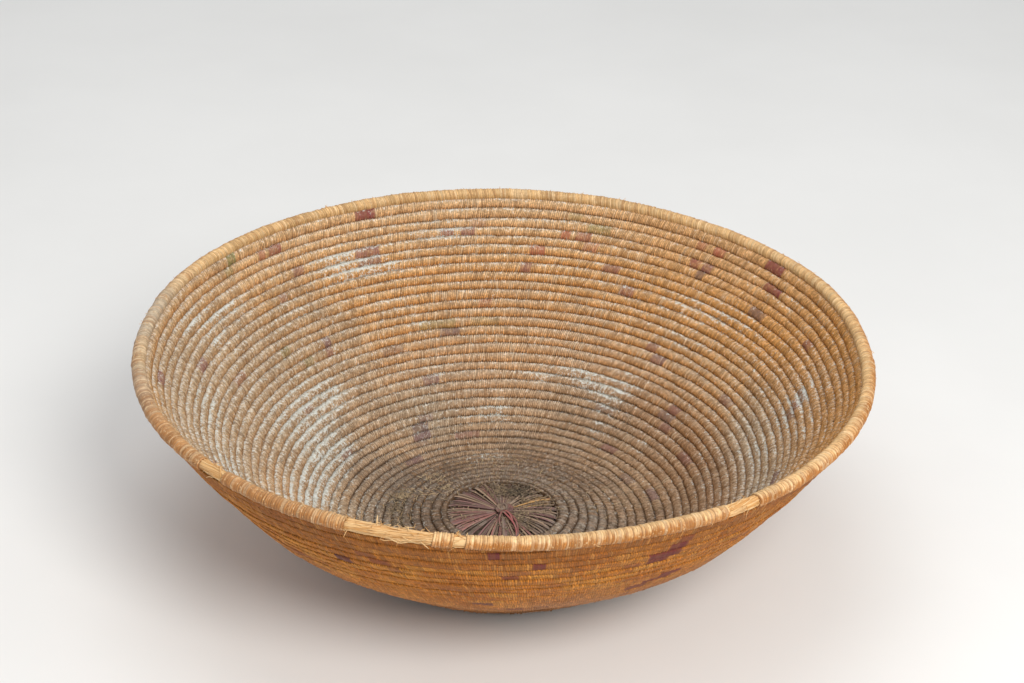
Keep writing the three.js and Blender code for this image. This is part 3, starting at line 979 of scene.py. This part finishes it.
def ribbon(azimuth, inner, outer, base, width, tint, own, draw):
    """A flat strip from the knot to the edge of the start disc, with a crease along its middle."""
    steps, sides = 12, 6
    places = np.linspace(0, 1, steps)
    share = places[:, None]
    radius = inner + (outer - inner) * share
    turned = azimuth + draw.normal(0, 0.010) + draw.normal(0, 0.05) * (share - 0.5) ** 2
    half = width * (0.30 + 0.70 * share**0.8) / 2
    arch = 0.9 * MM * np.sin(math.pi * np.clip(share * 0.9 + 0.05, 0, 1)) * draw.uniform(0.3, 1.2)
    across = np.array([-1.0, -0.45, 0.45, 1.0, 0.45, -0.45])
    thick = np.array([0.0, 0.30, 0.30, 0.0, -0.22, -0.22]) * MM
    cup = draw.normal(0.0, 0.25) * MM
    x = radius * np.cos(turned) - half * across * np.sin(turned)
    y = radius * np.sin(turned) + half * across * np.cos(turned)
    z = base + arch - 2.6 * MM * share**7 + thick + cup * across**2
    points = np.stack([x, y, z], -1).reshape(-1, 3)
    tints = np.tile([*tint, 1.0], (steps * sides, 1))
    faces = [f[:, ::-1] for f in tube_faces(steps, sides)]
    return points, faces, {"strand": per_point(places, across, own), "tint": tints}


STRIP_TINTS = {
    "rose": (0.25, 0.090, 0.085),
    "plum": (0.14, 0.060, 0.068),
    "rust": (0.36, 0.165, 0.060),
    "tan": (0.27, 0.185, 0.125),
    "umber": (0.12, 0.080, 0.060),
    "gold": (0.50, 0.27, 0.075),
}
# Dyes of each twelfth of the disc, from the right and round by the far side
STRIP_ORDER = [
    ("tan", "tan", "plum"), ("gold", "rust", "tan"), ("umber", "tan", "tan"),
    ("umber", "tan", "plum"), ("plum", "tan", "rose"), ("tan", "rose", "plum"),
    ("rose", "plum", "tan"), ("rose", "rose", "plum"), ("tan", "umber", "plum"),
    ("rose", "plum", "umber"), ("umber", "tan", "rose"), ("umber", "tan", "plum"),
]


def build_start():
    dyed = strip_material()
    draw = np.random.default_rng(500)
    low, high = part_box("start_bundle")
    strip_nodes = sorted(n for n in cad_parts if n.startswith("start_strip_"))
    strip_low, strip_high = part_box(strip_nodes[0])
    outer = high.x + 2.2 * MM
    span = TAU / len(strip_nodes)
    for i, node in enumerate(strip_nodes):
        parts = []
        for j in range(RIBBONS):
            azimuth = span * (i + (j + 0.5) / RIBBONS - 0.5) + draw.normal(0, 0.012)
            dye = STRIP_ORDER[i][draw.integers(3)]
            tint = np.array(STRIP_TINTS[dye]) * draw.uniform(0.6, 1.6)
            width = span * outer / RIBBONS * draw.uniform(0.55, 1.20)
            base = strip_low.z + draw.uniform(0.1, 1.9) * MM
            inner = 3.0 * MM + draw.uniform(0, 3.0) * MM
            reach = outer * draw.uniform(0.94, 1.11)
            parts.append(ribbon(azimuth, inner, reach, base, width, tint, draw.random(), draw))
        name = node.replace("start_strip", "start_ribbons")
        make_joined(name, parts, dyed, [node])

    # the ring of straw under the strips, as tight little coils
    parts = []
    rows = 6
    for k in range(rows):
        radius = 3 * MM + (high.x - 7 * MM) * k / (rows - 1)
        angles = TAU * np.arange(121) / 120 * 0.995 + k
        path = polar(radius, angles, (low.z + high.z) / 2 + 0.1 * MM * np.sin(9 * angles + k))
        thick = (high.x - 3 * MM) / rows / 2 * 1.15
        parts.append(strand(path, thick, 10, 1.0, 0.50, colour=0.3 + 0.1 * k))
    tones = (0.17, 0.115, 0.075), (0.085, 0.055, 0.038), (0.12, 0.10, 0.08)
    dull = straw_material("ring_straw", *tones)
    make_joined("start_ring", parts, dull, ["start_bundle"])

    # the knot: flat strips looped over and under each other, with red ends left long
    parts = []

    def dyed_strand(path, radius, tip, flat, colour, tint):
        made = strand(path, radius, 6, tip, flat, colour=colour)
        made[2]["tint"] = np.tile([*tint, 1.0], (len(made[0]), 1))
        parts.append(made)

    knot_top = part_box("start_knot")[1].z
    turns = np.linspace(0, TAU * 0.62, 26)
    reach = 5.4 * MM * np.abs(np.sin(turns * 0.8)) + 0.8 * MM
    for k in range(9):
        angle = 0.5 * turns + TAU * k / 9
        rise = 2.6 * MM * np.sin(turns * 0.8) * draw.uniform(0.5, 1.1)
        path = polar(reach, angle, knot_top - 1.6 * MM + rise) + [2.0 * MM, 0, 0]
        dye = ("rose", "umber", "tan", "plum")[k % 4]
        tint = np.array(STRIP_TINTS[dye]) * draw.uniform(0.4, 0.75)
        dyed_strand(path, 1.5 * MM, 0.75, 0.28, k / 9, tint)
    # the red ends, as (heading in degrees, length in mm, brightness)
    tails = [(284, 40, 1.0), (296, 38, 0.6), (303, 26, 0.9), (272, 22, 0.5)]
    share = np.linspace(0, 1, 16)
    for k, (heading, long, bright) in enumerate(tails):
        turned = math.radians(heading) + 0.16 * np.sin(3 * share + k)
        rise = (0.9 + 2.4 * np.sin(math.pi * share**0.7)) * MM
        path = polar((2 + long * share) * MM, turned, strip_high.z + rise)
        dyed_strand(path, 0.95 * MM, 0.5, 0.35, k / 4, np.array([0.34, 0.075, 0.085]) * bright)
    make_joined("knotted_strips", parts, dyed, ["start_knot"])


# --- Loose fibre inside the bowl ---


def loose_fibres(straw):
    """Short ends of straw and husk that stick up out of the grooves inside the bowl."""
    draw = np.random.default_rng(900)
    share = np.linspace(0, 1, 5)
    inward = 2.2 * MM + 2.6 * MM * np.sin(1.8 * share)
    parts = []
    for _ in range(FIBRES):
        row = BODY_ROWS * draw.uniform(0.02, 0.985) ** 0.7
        azimuth = draw.choice([draw.uniform(0, TAU), draw.normal(3.0, 0.5)])
        row = math.floor(row) + share_of(azimuth) + draw.normal(0, 0.07)
        if not 0.5 < row < BODY_ROWS - 0.5:
            continue
        radius, height, up_r, up_z = wall_at(row)
        length = draw.uniform(1.5, 5.5) * MM
        turned = azimuth + length * draw.uniform(-1, 1) * share / radius
        along = length * draw.uniform(-0.8, 0.8) * share
        r, z = radius + up_r * along - up_z * inward, height + up_z * along + up_r * inward
        path = polar(r, turned, z)
        parts.append(strand(path, draw.uniform(0.06, 0.15) * MM, 4, 0.3, colour=draw.random()))
    make_joined("loose_fibres", parts, straw)


def crumb_material():
    """Flour and bran crumbs, brown to white by each crumb's own number."""
    s = Shader("flour_crumbs")
    own = s.split(s.attribute("strand", "Vector"))[2]
    patch = s.noise(900.0, 2.0)
    colour = s.mix(own.between(0.2, 0.65), (0.42, 0.29, 0.165), (0.6, 0.595, 0.53))
    colour = s.mix(patch.between(0.4, 0.65, 0, 0.5), colour, (0.7, 0.715, 0.68))
    return s.finish(colour, 0.9, patch, 0.4, 0.0002, specular=0.15)


def crumbs():
    """Crumbs caked on the ledges between the rows, thickest where the flour lies."""
    draw = np.random.default_rng(970)
    azimuth = draw.uniform(0, TAU, CRUMBS)
    turn = draw.integers(5, TURNS, CRUMBS)
    below = np.abs(draw.normal(0, 0.20, CRUMBS))
    row = edge_row(turn, share_of(azimuth)) - below
    radius, height, up_r, up_z = wall_at(row)
    left = np.exp(-((degrees_from(172, azimuth) / 45) ** 2))
    chance = 0.05 + 0.16 * left + 0.85 * spread(FLOUR, azimuth, BODY_ROWS - row)
    kept = (draw.random(CRUMBS) < chance * (radius / rim_r) ** 2) & (below < 0.5)
    depth = INNER_FLOOR + (1 - INNER_FLOOR) * inner_round(1 - 2 * np.minimum(below, 0.5))
    size = draw.uniform(0.22, 0.70, CRUMBS) ** 1.3 * MM
    inward = depth * COIL_HALF + 0.5 * size + belly(azimuth, row)
    out_r, out_z = out_of_round(azimuth, row)
    middle = polar(radius + out_r - up_z * inward, azimuth, height + out_z + up_r * inward)[kept]
    total = len(middle)
    arms = np.concatenate([np.eye(3), -np.eye(3)])
    shape = arms * draw.uniform(0.5, 1.4, (total, 6, 1)) + draw.normal(0, 0.25, (total, 6, 3))
    points = middle[:, None] + shape * size[kept][:, None, None]
    around = [0, 1, 3, 4, 0]
    over = [[a, b, 2] for a, b in zip(around, around[1:])]
    under = [[b, a, 5] for a, b in zip(around, around[1:])]
    faces = (np.array(over + under) + 6 * np.arange(total)[:, None, None]).reshape(-1, 3)
    strip = np.repeat(draw.random((total, 1)), 6, 0) * [1.0, 1.0, 1.0]
    make_piece("flour_crumbs", points.reshape(-1, 3), [faces], crumb_material(),
               attributes={"strand": strip})


def litter():
    """Husk, fluff and bits of straw that lie on the base, as (azimuth, radius in mm, spread in
    mm, how many, length in mm, tone from dark 0 to pale 1)."""
    heaps = [
        (66, 29.5, 6, 520, 2.6, 0.16), (98, 28, 6.5, 340, 2.4, 0.5), (335, 13, 6, 200, 2.6, 0.55),
        (300, 24, 8, 200, 2.8, 0.5), (20, 30, 9, 260, 2.6, 0.58), (200, 30, 10, 80, 3, 0.6),
        (160, 85, 5, 130, 5, 0.62), (175, 84, 5, 110, 5, 0.55), (188, 82, 5, 80, 5.5, 0.5),
        (168, 86, 5, 130, 2.5, 0.12), (163, 84, 4.5, 60, 6.5, 0.85), (136, 78, 5, 46, 7.5, 0.95),
        (150, 66, 8, 40, 6, 0.9), (144, 56, 5, 40, 3, 0.98), (20, 60, 16, 160, 3, 0.65),
        (100, 62, 18, 160, 3, 0.7), (60, 58, 14, 120, 3, 0.7), (330, 60, 20, 90, 3.5, 0.65),
        (90, 100, 22, 160, 3, 0.75), (20, 105, 20, 120, 3, 0.7),
    ]
    draw = np.random.default_rng(950)
    share = np.linspace(-1, 1, 4)
    parts = []
    for azimuth, radius, width, count, length, tone in heaps:
        middle = polar(radius * MM, math.radians(azimuth), 0)[:2]
        for _ in range(count):
            x, y = middle + draw.normal(0, width * MM, 2)
            out = math.hypot(x, y)
            floor = STRIP_TOP + 0.4 * MM
            if out >= START_RADIUS:
                floor = np.interp(np.interp(out, PATH[:, 0], ROWS), ROWS, PATH[:, 1]) + 2.9 * MM
            reach = length * MM * draw.uniform(0.4, 1.3) / 2
            heading = draw.uniform(0, TAU)
            tilt = draw.normal(0, 0.25)
            curl = draw.normal(0, 0.35) * reach * share**2
            path = np.stack([x + reach * share * math.cos(heading) - curl * math.sin(heading),
                             y + reach * share * math.sin(heading) + curl * math.cos(heading),
                             floor + draw.uniform(0, 1.3) * MM + reach * share * tilt], 1)
            size = draw.uniform(0.16, 0.42) * MM
            own = np.clip(tone + draw.normal(0, 0.16), 0, 1)
            parts.append(strand(path, size, 4, 0.5, 0.45, colour=own))
    make_joined("husk_litter", parts, litter_material())


# --- Floor, light and camera ---


def build_stage():
    s = Shader("floor_paper")
    colour = s.mix(s.noise(3.0, 4.0).between(0.3, 0.7), (0.78, 0.775, 0.76), (0.81, 0.805, 0.79))
    mesh = bpy.data.meshes.new("floor")
    far = FLOOR_REACH
    places = [(-far, -far, 0), (far, -far, 0), (far, far, 0), (-far, far, 0)]
    mesh.from_pydata(places, [], [(0, 1, 2, 3)])
    mesh.materials.append(s.finish(colour, 0.8, s.noise(120.0), 0.05, 0.0005))
    floor = bpy.data.objects.new("floor", mesh)
    bpy.context.scene.collection.objects.link(floor)


def area_light(name, place, size, power, colour):
    data = bpy.data.lights.new(name, "AREA")
    data.shape = "DISK"
    data.size = size
    data.energy = power
    data.color = colour
    light = bpy.data.objects.new(name, data)
    light.location = place
    light.rotation_mode = "QUATERNION"
    aim = Vector((0, 0, rim_z / 2)) - Vector(place)
    light.rotation_quaternion = aim.to_track_quat("-Z", "Y")
    bpy.context.scene.collection.objects.link(light)


def build_lights():
    world = bpy.data.worlds.new("studio")
    world.use_nodes = True
    world.node_tree.nodes["Background"].inputs["Color"].default_value = (0.97, 0.985, 1.0, 1)
    world.node_tree.nodes["Background"].inputs["Strength"].default_value = 0.60
    bpy.context.scene.world = world
    area_light("key", (0.85, -1.70, 1.75), 1.1, 47.0, (1.0, 0.985, 0.955))
    area_light("top", (-0.2, 0.3, 2.3), 1.6, 12.0, (1.0, 1.0, 1.0))


def build_camera():
    """A 70 mm view from 28 degrees above, turned a degree as the photograph is."""
    pitch, roll = math.radians(28.13), math.radians(1.31)
    distance, aside, rise = 5.526 * rim_r, 0.018 * rim_r, -0.001 * rim_r
    ahead = Vector((0, math.cos(pitch), -math.sin(pitch)))
    right = Vector((1, 0, 0))
    up = right.cross(ahead)
    right_turned = math.cos(roll) * right + math.sin(roll) * up
    up_turned = -math.sin(roll) * right + math.cos(roll) * up
    data = bpy.data.cameras.new("camera")
    data.lens = 70.3
    data.sensor_width = 36.0
    camera = bpy.data.objects.new("camera", data)
    turn = Matrix((right_turned, up_turned, -ahead)).transposed()
    place = Vector((0, 0, rim_z)) - distance * ahead + aside * right_turned + rise * up_turned
    camera.matrix_world = Matrix.Translation(place) @ turn.to_4x4()
    bpy.context.scene.collection.objects.link(camera)
    bpy.context.scene.camera = camera
    bpy.context.scene.view_settings.view_transform = "Standard"


build_camera()
build_lights()
build_stage()
build_coil()
bare_straw = build_rim()
build_start()
loose_fibres(bare_straw)
crumbs()
litter()
